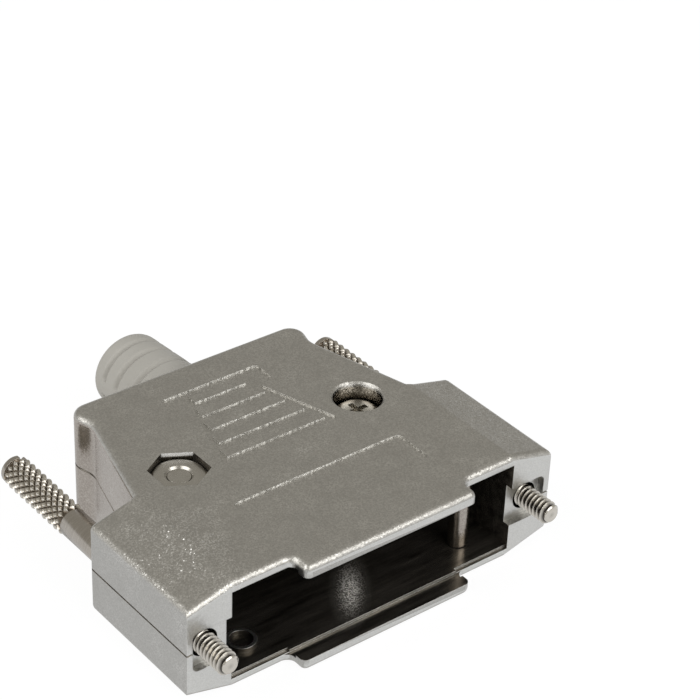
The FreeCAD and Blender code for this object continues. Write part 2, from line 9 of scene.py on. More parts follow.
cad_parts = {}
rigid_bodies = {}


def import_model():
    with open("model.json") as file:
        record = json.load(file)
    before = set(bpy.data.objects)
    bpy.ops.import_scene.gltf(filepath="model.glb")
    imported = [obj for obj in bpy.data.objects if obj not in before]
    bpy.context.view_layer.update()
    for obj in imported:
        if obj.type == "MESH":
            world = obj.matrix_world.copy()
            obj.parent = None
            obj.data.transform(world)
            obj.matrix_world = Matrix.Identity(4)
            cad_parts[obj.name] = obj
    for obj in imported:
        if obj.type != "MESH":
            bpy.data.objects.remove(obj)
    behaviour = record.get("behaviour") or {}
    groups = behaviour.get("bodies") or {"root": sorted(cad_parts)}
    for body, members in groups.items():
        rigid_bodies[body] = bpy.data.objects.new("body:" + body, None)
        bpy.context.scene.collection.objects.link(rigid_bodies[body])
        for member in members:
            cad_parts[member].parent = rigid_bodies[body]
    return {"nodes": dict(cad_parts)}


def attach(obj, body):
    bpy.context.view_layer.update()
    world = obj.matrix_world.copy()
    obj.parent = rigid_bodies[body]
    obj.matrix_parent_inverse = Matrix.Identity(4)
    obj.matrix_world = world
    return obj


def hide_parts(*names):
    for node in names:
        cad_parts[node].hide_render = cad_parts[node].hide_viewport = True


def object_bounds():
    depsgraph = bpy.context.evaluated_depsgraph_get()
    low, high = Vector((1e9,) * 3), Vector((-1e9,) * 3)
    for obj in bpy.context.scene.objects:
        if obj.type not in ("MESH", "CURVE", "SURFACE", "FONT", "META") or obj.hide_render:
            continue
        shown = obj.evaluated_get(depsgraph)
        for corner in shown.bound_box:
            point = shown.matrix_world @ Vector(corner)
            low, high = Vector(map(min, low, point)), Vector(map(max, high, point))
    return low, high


bl_info = {
    "name": "D-sub hood finisher",
    "version": (1, 0, 0),
    "blender": (4, 5, 0),
    "location": "View3D > Sidebar > Hood",
    "description": "Dresses a two-piece connector hood: plated shells, boot, thumbscrews and stage",
    "category": "Object",
}

# The frame is loaded into an empty scene
for leftover in list(bpy.data.objects):
    bpy.data.objects.remove(leftover)
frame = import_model()
NODES = frame["nodes"]
CAD_LOW, CAD_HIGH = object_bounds()

MM = 0.001

# Places of the CAD solids that finishes and new pieces follow
JACKSCREW_X = 23.52 * MM
CLAMP_X = 13.2 * MM
CLAMP_Y = 20.7 * MM
NUT_FACE_Z = 6.75 * MM

# How near points lie to count as one, and to count as lying on a cut
WELD_GAP = 0.0005 * MM
CUT_GAP = 0.0001 * MM


# Helpers for meshes

def finished_object(name, bm, materials, smooth=True):
    """Turns a bmesh into an object at the origin, with its place in its mesh."""
    bmesh.ops.remove_doubles(bm, verts=bm.verts, dist=WELD_GAP)
    bmesh.ops.recalc_face_normals(bm, faces=bm.faces)
    for face in bm.faces:
        face.smooth = smooth
    mesh = bpy.data.meshes.new(name)
    bm.to_mesh(mesh)
    bm.free()
    for material in materials:
        mesh.materials.append(material)
    made = bpy.data.objects.new(name, mesh)
    bpy.context.scene.collection.objects.link(made)
    return made


def sharpen(made, degrees):
    """Marks the edges that turn by more than an angle, so that only round forms shade round."""
    bm = bmesh.new()
    bm.from_mesh(made.data)
    for edge in bm.edges:
        if len(edge.link_faces) == 2 and edge.calc_face_angle(0.0) > math.radians(degrees):
            edge.smooth = False
    bm.to_mesh(made.data)
    bm.free()


def lathe(bm, x, profile, steps=64):
    """Turns a profile of (radius, y) points about a line along Y at x."""
    verts = [bm.verts.new((x + radius, y, 0.0)) for radius, y in profile]
    edges = [bm.edges.new(pair) for pair in zip(verts, verts[1:])]
    bmesh.ops.spin(bm, geom=verts + edges, cent=(x, 0, 0), axis=(0, 1, 0), dvec=(0, 0, 0),
                   angle=math.tau, steps=steps, use_merge=True, use_duplicate=False)


def ring_edges(verts):
    """The edges that join points of one ring."""
    kept = set(verts)
    return list({edge for vert in verts for edge in vert.link_edges
                 if edge.other_vert(vert) in kept})


# Helpers for materials

def linear(hex_colour):
    """Turns an sRGB hex colour into linear red, green, blue and alpha."""
    parts = [int(hex_colour[i:i + 2], 16) / 255 for i in (1, 3, 5)]
    parts = [c / 12.92 if c <= 0.04045 else ((c + 0.055) / 1.055) ** 2.4 for c in parts]
    return (*parts, 1.0)


def add_node(tree, kind, values=None, links=None, stops=(), **settings):
    """Adds a shader node with its settings, input values and ramp stops, and links its inputs."""
    made = tree.nodes.new("ShaderNode" + kind)
    for name, value in settings.items():
        setattr(made, name, value)
    for name, value in (values or {}).items():
        made.inputs[name].default_value = value
    for name, source in (links or {}).items():
        tree.links.new(source, made.inputs[name])
    if stops:
        set_stops(made.color_ramp.elements, stops)
    return made


def set_stops(elements, stops):
    """Gives a ramp its stops, each a place along it and a value from black to white."""
    for place, _ in stops[2:]:
        elements.new(place)
    for element, (place, shade) in zip(elements, stops):
        element.position = place
        element.color = (shade, shade, shade, 1.0)


def new_material(name):
    """A new material, its node tree, and the place on the piece that its patterns follow."""
    made = bpy.data.materials.new(name)
    made.use_nodes = True
    tree = made.node_tree
    tree.nodes.clear()
    return made, tree, add_node(tree, "TexCoord").outputs["Object"]


def with_surface(made, shader):
    """Shows a shader as a material's surface, and gives the material."""
    add_node(made.node_tree, "OutputMaterial", links={"Surface": shader.outputs[0]})
    return made


# How the plating varies: some facets glint and are painted paler as a painted highlight, more of them in
# clouds and in a patch where the light catches the left ear's slope
CLOUD_SIZE = 3.5 * MM
GLINT_PICK = ((0.0, 0.0), (0.66, 0.0), (0.7, 1.0))
GLINT_CLUSTER = ((0.0, 0.05), (0.36, 0.07), (0.66, 1.0))
PAINTED_GLINT_TONE = "#F2F1EE"
GLINT_SHARPENING = 0.25
CLOUD_WEIGHT = 0.6
GLINT_PATCH_WEIGHT = 0.35
GLINT_PATCH_PLACE = (-20.5 * MM, 9.0 * MM, 6.8 * MM)
GLINT_PATCH_SIZE = (8.0 * MM, 12.0 * MM, 4.0 * MM)
ROUGHNESS_SPREAD = 0.06


def grained_metal(name, tones, roughness, cell, grain, glint, edge):
    """Metal of tiny facets, each one cell wide: all tilt by a grain, and some by a glint more; those are
    also painted paler, a painted highlight.

    The real facets are a few hundredths of a millimetre wide, too fine to show, so they are
    drawn several times as wide. Sharp edges look rounded to the radius edge.
    """
    made, tree, place = new_material(name)
    cells = add_node(tree, "TexVoronoi", {"Scale": 1.0 / cell}, {"Vector": place})
    chance = add_node(tree, "TexWhiteNoise", links={"Vector": cells.outputs["Position"]})
    clouds = add_node(tree, "TexNoise",
                      {"Scale": 1.0 / CLOUD_SIZE, "Detail": 5.0, "Roughness": 0.6}, {"Vector": place})
    picked = add_node(tree, "ValToRGB", links={"Fac": chance.outputs["Value"]}, stops=GLINT_PICK)
    # More painted glints in a patch where the light catches the left ear's slope
    glint_patch_place = add_node(tree, "Mapping", {"Location": GLINT_PATCH_PLACE, "Scale": GLINT_PATCH_SIZE},
                          {"Vector": place}, vector_type="TEXTURE")
    glint_patch = add_node(tree, "TexGradient", links={"Vector": glint_patch_place.outputs["Vector"]},
                    gradient_type="SPHERICAL")
    faint = add_node(tree, "Math", {1: CLOUD_WEIGHT}, {0: clouds.outputs["Fac"]}, operation="MULTIPLY")
    patchy = add_node(tree, "Math", {1: GLINT_PATCH_WEIGHT},
                      {0: glint_patch.outputs["Fac"], 2: faint.outputs[0]}, operation="MULTIPLY_ADD")
    cluster = add_node(tree, "ValToRGB", links={"Fac": patchy.outputs[0]}, stops=GLINT_CLUSTER)
    glints = add_node(tree, "Math", links={0: picked.outputs[0], 1: cluster.outputs[0]},
                      operation="MULTIPLY")
    amount = add_node(tree, "Math", {1: glint, 2: grain}, {0: glints.outputs[0]},
                      operation="MULTIPLY_ADD")
    middle = add_node(tree, "VectorMath", {1: (0.5, 0.5, 0.5)}, {0: cells.outputs["Color"]},
                      operation="SUBTRACT")
    tilt = add_node(tree, "VectorMath",
                    links={0: middle.outputs[0], "Scale": amount.outputs[0]}, operation="SCALE")
    rounded = add_node(tree, "Bevel", {"Radius": edge}, samples=4)
    leaning = add_node(tree, "VectorMath", links={0: rounded.outputs[0], 1: tilt.outputs[0]},
                       operation="ADD")
    normal = add_node(tree, "VectorMath", links={0: leaning.outputs[0]}, operation="NORMALIZE")
    blend = add_node(tree, "Math",
                     links={0: chance.outputs["Value"], 1: clouds.outputs["Fac"]}, operation="MULTIPLY")
    tone = add_node(tree, "Mix", {"A": linear(tones[0]), "B": linear(tones[1])},
                    {"Factor": blend.outputs[0]}, data_type="RGBA")
    # Glinting facets are painted paler towards the glint tone: a painted highlight
    tone = add_node(tree, "Mix", {"B": linear(PAINTED_GLINT_TONE)},
                    {"Factor": glints.outputs[0], "A": tone.outputs["Result"]}, data_type="RGBA")
    rough = add_node(tree, "MapRange",
                     {"To Min": roughness - ROUGHNESS_SPREAD, "To Max": roughness + ROUGHNESS_SPREAD},
                     {"Value": clouds.outputs["Fac"]})
    sharp = add_node(tree, "Math", {1: -GLINT_SHARPENING * roughness},
                     {0: glints.outputs[0], 2: rough.outputs[0]}, operation="MULTIPLY_ADD")
    shader = add_node(tree, "BsdfPrincipled", {"Metallic": 1.0},
                      {"Base Color": tone.outputs["Result"], "Roughness": sharp.outputs[0],
                       "Normal": normal.outputs[0]})
    return with_surface(made, shader)


def satin_nickel(finish):
    """Bright nickel over a spark-eroded mould face: a grained satin grey with tiny glints."""
    return grained_metal("satin_nickel_on_broad_faces", ("#BBB9B4", "#E5E3DD"), finish.satin_roughness,
                         cell=finish.grain_size * MM, grain=0.17, glint=0.66, edge=0.1 * MM)


def side_nickel(finish):
    """The same plating on the upright walls: finer and more even, so it looks brighter."""
    return grained_metal("satin_nickel_on_upright_walls", ("#B9B8B4", "#D9D8D5"), finish.side_roughness,
                         cell=0.8 * finish.grain_size * MM, grain=0.12, glint=0.25, edge=0.15 * MM)


def lit_front_nickel(finish):
    """The plating on the walls that face the connector, painted brightest since the light falls straight on
    them: painted light.
    """
    return grained_metal("painted_lit_nickel_on_front_walls", ("#DEDEDB", "#F6F6F4"), finish.side_roughness,
                         cell=0.8 * finish.grain_size * MM, grain=0.12, glint=0.25, edge=0.15 * MM)


def relief_nickel(finish):
    """The plating on the low walls of the relief: coarse, so its lines break into bright dashes, and paler
    than the broad faces as a painted highlight.
    """
    return grained_metal("coarse_nickel_painted_highlight_on_relief_walls", ("#C9C8C4", "#F4F3F0"), finish.satin_roughness,
                         cell=1.6 * finish.grain_size * MM, grain=0.7, glint=0.9, edge=0.12 * MM)


def shaded_relief_nickel(finish):
    """The same coarse plating on relief walls that face sideways, painted darker as painted shade."""
    return grained_metal("coarse_nickel_painted_shade_on_relief_sides", ("#ABA9A3", "#DAD8D3"), finish.satin_roughness,
                         cell=1.6 * finish.grain_size * MM, grain=0.5, glint=0.7, edge=0.12 * MM)


def smooth_nickel(finish):
    """Plating over the polished tail: glossier, with a warm tint that is a painted reflection of the
    brownish knurl beside it.
    """
    return grained_metal("smooth_nickel_on_tail", ("#AEA69E", "#D3CCC3"), finish.smooth_roughness,
                         cell=finish.grain_size * MM, grain=0.06, glint=0.1, edge=0.15 * MM)


# The pockets' plating, pale at the mouth as a painted highlight, and the heights between which a wall turns
# from its foot's painted shade to this
POCKET_TONES = ("#D4D3D0", "#F0EFEC")
POCKET_MOUTH = (6.7 * MM, 7.05 * MM)
NUT_WALL_MOUTH = (6.9 * MM, 7.1 * MM)


def paint_shade_below_mouth(made, shade_tone, mouth_heights):
    """Paints shade on a pocket's wall below its mouth; gives the mouth's share by height, and the shader.
    """
    tree = made.node_tree
    place = add_node(tree, "TexCoord").outputs["Object"]
    parts = add_node(tree, "SeparateXYZ", links={"Vector": place})
    height = add_node(tree, "Math", links={0: parts.outputs["Z"]}, operation="ABSOLUTE")
    mouth = add_node(tree, "MapRange",
                     {"From Min": mouth_heights[0], "From Max": mouth_heights[1]},
                     {"Value": height.outputs[0]})
    shader = next(node for node in tree.nodes if node.type == "BSDF_PRINCIPLED")
    bright = shader.inputs["Base Color"].links[0].from_socket
    tone = add_node(tree, "Mix", {"A": linear(shade_tone)},
                    {"Factor": mouth.outputs[0], "B": bright}, data_type="RGBA")
    tree.links.new(tone.outputs["Result"], shader.inputs["Base Color"])
    return mouth.outputs[0], shader


def pocket_nickel(finish):
    """Plating in the round screw pockets: smooth and neutral, with a round mouth painted bright as a
    painted highlight and painted shade below it.
    """
    made = grained_metal("smooth_nickel_in_pockets", POCKET_TONES, 0.6 * finish.smooth_roughness,
                         cell=0.8 * finish.grain_size * MM, grain=0.2, glint=0.4, edge=0.85 * MM)
    paint_shade_below_mouth(made, "#9C978F", POCKET_MOUTH)
    return made


def nut_pocket_painted_light_nickel(finish):
    """The pocket wall that the nut is pressed past: painted pale at its mouth as a painted highlight, and
    dark at its foot as painted shade.
    """
    made = grained_metal("nickel_in_nut_pocket_painted_light", POCKET_TONES, finish.satin_roughness,
                         cell=finish.grain_size * MM, grain=0.3, glint=0.4, edge=0.3 * MM)
    mouth, shader = paint_shade_below_mouth(made, "#4A463F", NUT_WALL_MOUTH)
    # Less metal at the mouth lets its pale tone show: part of the painted highlight
    metal = add_node(made.node_tree, "MapRange", {"To Min": 1.0, "To Max": 0.1}, {"Value": mouth})
    made.node_tree.links.new(metal.outputs[0], shader.inputs["Metallic"])
    return made


# The speckled patch on the floor of the hollow, a painted pool of light from the cable bore, and the
# streaks, which vary its roughness and bump and are painted into its tone as painted reflections
PATCH_PLACE = (-0.1 * MM, 4.5 * MM, -5.85 * MM)
PATCH_TURN = (0.0, 0.0, math.radians(-38.0))
PATCH_SIZE = (2.7 * MM, 8.0 * MM, 2.4 * MM)
PATCH_STOPS = ((0.0, 0.0), (0.35, 0.2), (0.8, 1.0))
SPECKLE_SIZE = 0.16 * MM
SPECKLE_STOPS = ((0.0, 0.25), (0.45, 0.35), (0.6, 1.0))
STREAK_WIDTH = 0.9 * MM
STREAK_STRETCH = (0.12, 1.0, 1.0)
REFLECTION_STREAK_STOPS = ((0.3, 0.0), (0.75, 1.0))


def inside_nickel(finish):
    """Polished core side, painted nearly black as painted shade, with streaks painted in as painted
    reflections and a speckled painted pool of light.
    """
    made, tree, place = new_material("dark_nickel_inside_painted_shade")
    streak_place = add_node(tree, "Mapping", {"Scale": STREAK_STRETCH}, {"Vector": place})
    streaks = add_node(tree, "TexNoise",
                       {"Scale": 1.0 / STREAK_WIDTH, "Detail": 5.0, "Roughness": 0.65},
                       {"Vector": streak_place.outputs["Vector"]})
    speckle = add_node(tree, "TexNoise", {"Scale": 1.0 / SPECKLE_SIZE, "Detail": 3.0}, {"Vector": place})
    patch_place = add_node(tree, "Mapping",
                           {"Location": PATCH_PLACE, "Rotation": PATCH_TURN, "Scale": PATCH_SIZE},
                           {"Vector": place}, vector_type="TEXTURE")
    patch = add_node(tree, "TexGradient", links={"Vector": patch_place.outputs["Vector"]},
                     gradient_type="SPHERICAL")
    grains = add_node(tree, "ValToRGB", links={"Fac": speckle.outputs["Fac"]}, stops=SPECKLE_STOPS)
    bright = add_node(tree, "ValToRGB", links={"Fac": patch.outputs["Fac"]}, stops=PATCH_STOPS)
    # The speckled patch is a painted pool of light
    shown = add_node(tree, "Math", links={0: bright.outputs[0], 1: grains.outputs[0]},
                     operation="MULTIPLY")
    rough = add_node(tree, "MapRange",
                     {"To Min": finish.inside_roughness - 0.05, "To Max": finish.inside_roughness + 0.1},
                     {"Value": streaks.outputs["Fac"]})
    edge = add_node(tree, "Bevel", {"Radius": 0.12 * MM}, samples=4)
    bump = add_node(tree, "Bump", {"Strength": 0.35, "Distance": 0.02 * MM},
                    {"Height": streaks.outputs["Fac"], "Normal": edge.outputs["Normal"]})
    painted_reflection_streaks = add_node(tree, "ValToRGB", links={"Fac": streaks.outputs["Fac"]}, stops=REFLECTION_STREAK_STOPS)
    # A dark painted shade, with the streaks painted in as painted reflections
    tone = add_node(tree, "Mix", {"A": linear("#38352F"), "B": linear("#8E887E")},
                    {"Factor": painted_reflection_streaks.outputs[0]}, data_type="RGBA")
    tone_with_painted_light_patch = add_node(tree, "Mix", {"B": linear("#F2EEE6")},
                       {"Factor": shown.outputs[0], "A": tone.outputs["Result"]}, data_type="RGBA")
    # Less metal in the patch lets its pale tone show: part of the painted light
    metal = add_node(tree, "MapRange", {"To Min": 0.86, "To Max": 0.0}, {"Value": shown.outputs[0]})
    shader = add_node(tree, "BsdfPrincipled",
                      links={"Base Color": tone_with_painted_light_patch.outputs["Result"], "Roughness": rough.outputs[0],
                             "Metallic": metal.outputs[0], "Normal": bump.outputs["Normal"]})
    return with_surface(made, shader)


def boot_plastic():
    """Moulded grey plastic with a fine matt skin: soft, even and slightly warm."""
    made, tree, place = new_material("moulded_grey_boot_plastic")
    skin = add_node(tree, "TexNoise", {"Scale": 1.0 / (0.25 * MM), "Detail": 2.0}, {"Vector": place})
    clouds = add_node(tree, "TexNoise", {"Scale": 1.0 / (5.0 * MM), "Detail": 3.0}, {"Vector": place})
    edge = add_node(tree, "Bevel", {"Radius": 0.15 * MM}, samples=4)
    bump = add_node(tree, "Bump", {"Strength": 0.15, "Distance": 0.02 * MM},
                    {"Height": skin.outputs["Fac"], "Normal": edge.outputs["Normal"]})
    tone = add_node(tree, "Mix", {"A": linear("#AAA79F"), "B": linear("#B4B1A9")},
                    {"Factor": clouds.outputs["Fac"]}, data_type="RGBA")
    shader = add_node(tree, "BsdfPrincipled", {"Roughness": 0.5, "IOR": 1.5},
                      {"Base Color": tone.outputs["Result"], "Normal": bump.outputs["Normal"]})
    return with_surface(made, shader)


def screw_nickel(name, tones, valley, crest):
    """Nickel on turned metal: bright on the crests and darker towards the valleys as painted shade.

    The tone goes from the first, a painted shade, at the radius valley to the other two, mixed, at crest.
    """
    made, tree, place = new_material(name)
    turning = add_node(tree, "Mapping", {"Scale": (0.3, 4.0, 0.3)}, {"Vector": place})
    marks = add_node(tree, "TexNoise", {"Scale": 1.0 / (0.6 * MM), "Detail": 3.0},
                     {"Vector": turning.outputs["Vector"]})
    parts = add_node(tree, "SeparateXYZ", links={"Vector": place})
    side = add_node(tree, "Math", links={0: parts.outputs["X"]}, operation="ABSOLUTE")
    across = add_node(tree, "Math", {1: JACKSCREW_X}, {0: side.outputs[0]}, operation="SUBTRACT")
    spoke = add_node(tree, "CombineXYZ", links={"X": across.outputs[0], "Y": parts.outputs["Z"]})
    radius = add_node(tree, "VectorMath", links={0: spoke.outputs[0]}, operation="LENGTH")
    raised = add_node(tree, "MapRange", {"From Min": valley, "From Max": crest},
                      {"Value": radius.outputs["Value"]})
    rough = add_node(tree, "MapRange", {"To Min": 0.14, "To Max": 0.3}, {"Value": marks.outputs["Fac"]})
    edge = add_node(tree, "Bevel", {"Radius": 0.08 * MM}, samples=4)
    bump = add_node(tree, "Bump", {"Strength": 0.2, "Distance": 0.01 * MM},
                    {"Height": marks.outputs["Fac"], "Normal": edge.outputs["Normal"]})
    bright = add_node(tree, "Mix", {"A": linear(tones[1]), "B": linear(tones[2])},
                      {"Factor": marks.outputs["Fac"]}, data_type="RGBA")
    # The valley tone is painted shade, deepest at the valley radius
    tone = add_node(tree, "Mix", {"A": linear(tones[0])},
                    {"Factor": raised.outputs[0], "B": bright.outputs["Result"]}, data_type="RGBA")
    shader = add_node(tree, "BsdfPrincipled", {"Metallic": 1.0},
                      {"Base Color": tone.outputs["Result"], "Roughness": rough.outputs[0],
                       "Normal": bump.outputs["Normal"]})
    return with_surface(made, shader)


def zinc_plate():
    """Zinc-plated steel fasteners: bright, a little cloudy, with rounded edges."""
    made, tree, place = new_material("zinc_plated_fastener_steel")
    clouds = add_node(tree, "TexNoise", {"Scale": 1.0 / (0.8 * MM), "Detail": 4.0}, {"Vector": place})
    rough = add_node(tree, "MapRange", {"To Min": 0.18, "To Max": 0.36}, {"Value": clouds.outputs["Fac"]})
    edge = add_node(tree, "Bevel", {"Radius": 0.1 * MM}, samples=4)
    tone = add_node(tree, "Mix", {"A": linear("#BDB9B1"), "B": linear("#CFCCC5")},
                    {"Factor": clouds.outputs["Fac"]}, data_type="RGBA")
    shader = add_node(tree, "BsdfPrincipled", {"Metallic": 1.0},
                      {"Base Color": tone.outputs["Result"], "Roughness": rough.outputs[0],
                       "Normal": edge.outputs["Normal"]})
    return with_surface(made, shader)


def spring_steel():
    """Plain hardened strip and wire: darker grey with a fine rolled grain."""
    made, tree, place = new_material("rolled_spring_steel")
    rolled = add_node(tree, "Mapping", {"Scale": (0.1, 1.0, 1.0)}, {"Vector": place})
    lines = add_node(tree, "TexNoise", {"Scale": 1.0 / (0.3 * MM), "Detail": 3.0},
                     {"Vector": rolled.outputs["Vector"]})
    rough = add_node(tree, "MapRange", {"To Min": 0.28, "To Max": 0.42}, {"Value": lines.outputs["Fac"]})
    tone = add_node(tree, "Mix", {"A": linear("#8E8D8A"), "B": linear("#A3A29F")},
                    {"Factor": lines.outputs["Fac"]}, data_type="RGBA")
    shader = add_node(tree, "BsdfPrincipled", {"Metallic": 1.0},
                      {"Base Color": tone.outputs["Result"], "Roughness": rough.outputs[0]})
    return with_surface(made, shader)


# Settings a user would change

class HoodFinish(bpy.types.PropertyGroup):
    grain_size: FloatProperty(name="Grain size",
                              description="Width of the shell's satin grain, in millimetres",
                              default=0.15, min=0.05)
    satin_roughness: FloatProperty(name="Satin roughness", description="Roughness of the broad outer faces",
                                   default=0.38, min=0.1, max=1.0, subtype="FACTOR")
    side_roughness: FloatProperty(name="Side roughness", description="Roughness of the upright outer walls",
                                  default=0.32, min=0.1, max=1.0, subtype="FACTOR")
    smooth_roughness: FloatProperty(name="Tail roughness", description="Roughness of the polished tail",
                                    default=0.22, min=0.07, max=1.0, subtype="FACTOR")
    inside_roughness: FloatProperty(name="Inside roughness", description="Roughness of the polished inside",
                                    default=0.2, min=0.06, max=1.0, subtype="FACTOR")


class ThumbscrewSizes(bpy.types.PropertyGroup):
    pitch: FloatProperty(name="Thread pitch", description="Distance from one thread crest to the next",
                         default=0.635 * MM, unit="LENGTH", precision=5)
    crest_radius: FloatProperty(name="Thread radius", description="Outside radius of the thread",
                                default=1.42 * MM, unit="LENGTH", precision=5)
    root_radius: FloatProperty(name="Root radius", description="Radius at the bottom of the thread",
                               default=1.0 * MM, unit="LENGTH", precision=5)
    bead_columns: IntProperty(name="Bead columns",
                              description="Knurl beads around the head, both diagonals counted",
                              default=24, min=8)
    bead_rows: IntProperty(name="Bead rows", description="Half rows of knurl beads along the head",
                           default=20, min=4)


class HoodStage(bpy.types.PropertyGroup):
    camera_place: FloatVectorProperty(name="Camera place", description="Where the camera stands",
                                      default=(-0.13314, -0.15452, 0.15946), subtype="XYZ", unit="LENGTH")
    camera_heading: FloatProperty(name="Heading", description="Which way the camera looks, right of +Y",
                                  default=math.radians(39.567), subtype="ANGLE")
    camera_drop: FloatProperty(name="Drop", description="How far below level the camera looks",
                               default=math.radians(32.479), subtype="ANGLE")
    camera_roll: FloatProperty(name="Roll", description="Turn of the camera about its own axis",
                               default=math.radians(2.516), subtype="ANGLE")
    lens: FloatProperty(name="Lens", description="Focal length on a 36 mm sensor, in millimetres",
                        default=115.45, min=20.0)


# Operators

# The shells' finishes, numbered as their slots are
BROAD, UPRIGHT, TAIL, INSIDE, PAINTED_LIT_FRONT, POCKET, RELIEF, RELIEF_SIDE, NUT_WALL = range(9)
SHELL_FINISHES = (satin_nickel, side_nickel, smooth_nickel, inside_nickel, lit_front_nickel, pocket_nickel,
                  relief_nickel, shaded_relief_nickel, nut_pocket_painted_light_nickel)

# Which way a face looks, by parts of its normal: an upright one's points up by less than this,
# and that of a level, forward, lit or inward one points that way by more
UPRIGHT_LEAN = 0.3
LEVEL_LEAN = 0.93
FORWARD_LEAN = 0.7
LIT_LEAN = 0.4
INWARD_LEAN = 0.5

# Where each part of the shells lies: limits a hair to one side of the CAD's own faces
PARTING_EDGE = 0.13 * MM
BROAD_HEIGHT = 5.82 * MM
TAIL_FRONT = 20.5 * MM
TAIL_CORNER = 33.5 * MM
RELIEF_HEIGHT = 7.2 * MM
RELIEF_FRONT = 5.0 * MM
RELIEF_BACK = 35.0 * MM
RELIEF_REACH = 14.0 * MM
SINK_REACH = 3.95 * MM
SINK_FLOOR = 3.4 * MM
BORE_REACH = 2.35 * MM
BORE_FRONT = 1.05 * MM
BORE_BACK = 18.5 * MM
INSIDE_HEIGHT = 6.3 * MM
LIP_FRONT = -2.8 * MM
RIM_FOOT = 5.8 * MM
HOLLOW_FRONT = -0.3 * MM
HOLLOW_BACK = 37.15 * MM
HOLLOW_WALL = ((12.5 * MM, 20.53 * MM), (17.9 * MM, 18.63 * MM), (34.3 * MM, 14.73 * MM))
POST_PLACE = Vector((16.1 * MM, 4.2 * MM))
POST_REACH = 1.4 * MM
RING_PLACE = Vector((-POST_PLACE.x, POST_PLACE.y))
RING_INSIDE = 1.45 * MM
RING_REACH = 1.95 * MM
RING_LOW = -5.3 * MM
RING_HIGH = -5.2 * MM
LEAST_HEIGHT = 0.001 * MM


def hollow_half_width(y):
    """Half the width of the hollow at y, a hair outside its side walls."""
    if y <= HOLLOW_WALL[0][0]:
        return HOLLOW_WALL[0][1]
    for (y0, x0), (y1, x1) in zip(HOLLOW_WALL, HOLLOW_WALL[1:]):
        if y <= y1:
            return x0 + (x1 - x0) * (y - y0) / (y1 - y0)
    return HOLLOW_WALL[-1][1]


def pocket_zone(centre, normal):
    """The finish of a wall round a screw's head, or round a nut, where only the lit side is bright."""
    holds_nut = centre.x * centre.z < 0
    if not holds_nut:
        return POCKET
    # The nut pocket's other walls take the dark inside finish as painted shade
    return NUT_WALL if normal.y < -LIT_LEAN and centre.x * normal.x > 0 else INSIDE


def shell_zone(centre, normal):
    """The finish of a shell's face, from where it lies and which way it looks."""
    height = abs(centre.z)
    side = abs(centre.x)
    outward = normal.z * centre.z / max(height, LEAST_HEIGHT)
    upright = abs(normal.z) < UPRIGHT_LEAN
    forward = normal.y < -FORWARD_LEAN
    if height < PARTING_EDGE and outward < -UPRIGHT_LEAN:
        return TAIL if TAIL_FRONT < centre.y < TAIL_CORNER else INSIDE
    if height > BROAD_HEIGHT and outward > LEVEL_LEAN:
        return BROAD
    at_clamp = math.hypot(side - CLAMP_X, centre.y - CLAMP_Y) < SINK_REACH
    if upright and height > SINK_FLOOR and at_clamp:
        return pocket_zone(centre, normal)
    if height > RELIEF_HEIGHT and RELIEF_FRONT < centre.y < RELIEF_BACK and side < RELIEF_REACH:
        if not upright:
            return BROAD
        # Relief walls that face sideways take the painted shade copy, the others the painted highlight copy
        return RELIEF if abs(normal.y) > abs(normal.x) else RELIEF_SIDE
    in_bore = math.hypot(side - JACKSCREW_X, centre.z) < BORE_REACH
    if in_bore and BORE_FRONT < centre.y < BORE_BACK:
        return INSIDE
    if height < INSIDE_HEIGHT and centre.y < HOLLOW_BACK and side < hollow_half_width(centre.y):
        if upright and (centre.xy - POST_PLACE).length < POST_REACH:
            return TAIL
        if centre.z < RING_HIGH and RING_INSIDE < (centre.xy - RING_PLACE).length < RING_REACH:
            # The ring boss's top takes the lit front finish as a painted highlight
            return PAINTED_LIT_FRONT if centre.z > RING_LOW and not upright else INSIDE
        if upright and forward and height > RIM_FOOT:
            return UPRIGHT
        if centre.y > HOLLOW_FRONT or (outward < -INWARD_LEAN and centre.y > LIP_FRONT):
            return INSIDE
    if not upright:
        return BROAD
    if centre.y > TAIL_FRONT:
        return TAIL
    # Walls that face forward take the lit front finish: painted light
    return PAINTED_LIT_FRONT if forward else UPRIGHT


class HOOD_OT_plate_shells(bpy.types.Operator):
    """Plate both shells: satin broad faces, smooth sides and a polished inside"""
    bl_idname = "hood.plate_shells"
    bl_label = "Plate the shells"

    def execute(self, context):
        finishes = [make(context.scene.hood_finish) for make in SHELL_FINISHES]
        for name in ("upper_shell", "lower_shell"):
            mesh = NODES[name].data.copy()
            mesh.name = name + "_plated"
            mesh.materials.clear()
            for material in finishes:
                mesh.materials.append(material)
            zones = [shell_zone(face.center, face.normal) for face in mesh.polygons]
            mesh.polygons.foreach_set("material_index", zones)
            plated = bpy.data.objects.new(name + "_plated", mesh)
            context.scene.collection.objects.link(plated)
            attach(plated, "hood")
            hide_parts(name)
        return {"FINISHED"}


# The boot, in millimetres: its section as (radius, y) points, and its grooves by their middles
BOOT_INNER = ((3.9, 35.58), (5.0, 35.58), (5.0, 37.08), (4.5, 37.08), (4.5, 38.42), (5.5, 38.42),
              (5.5, 39.6))
BOOT_OUTER = ((5.7, 39.6), (5.05, 52.3))
BOOT_MOUTH = 3.9
BOOT_ROUND = 1.2
BOOT_SKIN = 4.9
BOOT_STEPS_ALONG = 110
BOOT_STEPS_ROUND = 8
BOOT_STEPS_AROUND = 128
BOOT_GROOVES = (43.1, 46.45, 49.2)
GROOVE_STEEP = 0.2
GROOVE_GENTLE = 1.0
GROOVE_DEPTH = 0.62
BAND_HALF_HEIGHT = 1.0
BAND_BLEND = 0.25


